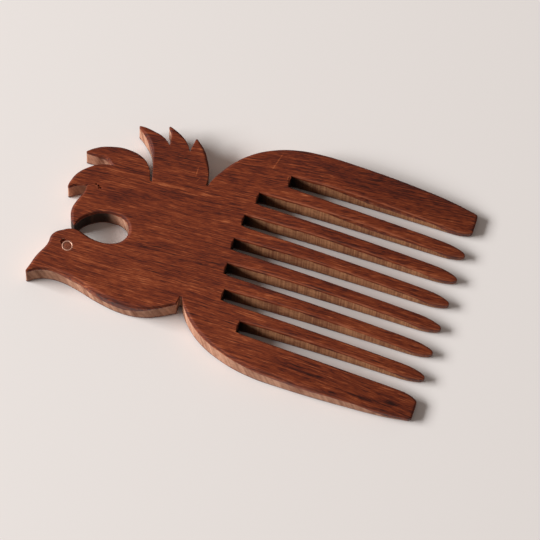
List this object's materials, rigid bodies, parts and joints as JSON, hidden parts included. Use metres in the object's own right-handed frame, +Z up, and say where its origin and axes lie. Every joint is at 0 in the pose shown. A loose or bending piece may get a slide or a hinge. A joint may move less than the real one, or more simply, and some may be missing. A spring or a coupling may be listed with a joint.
{
  "type": "wooden comb",
  "caption": "Wide-toothed wooden comb sawn from one board, with a bird's head for a handle and a ringed eye let through it.",
  "frame": {"origin": "middle of the comb's length and width, on the plane of its flat underside", "axes": "+X along the comb towards the tooth tips, +Y across it towards the crest feathers, +Z up out of the face with the pictured side"},
  "size_m": [0.1482, 0.0904, 0.0092],
  "materials": {
    "body_wood": "red-brown hardwood, sanded and oiled to a satin sheen on the faces, sawn and matt on the walls",
    "eye_brass": "thin pale brass tube, flush and slightly tarnished",
    "eye_wood": "end-grain hardwood core, sanded flush"
  },
  "bodies": {
    "root": {"comb_body": "body_wood", "eye_ring": "eye_brass", "eye_plug": "eye_wood"}
  },
  "joints": []
}
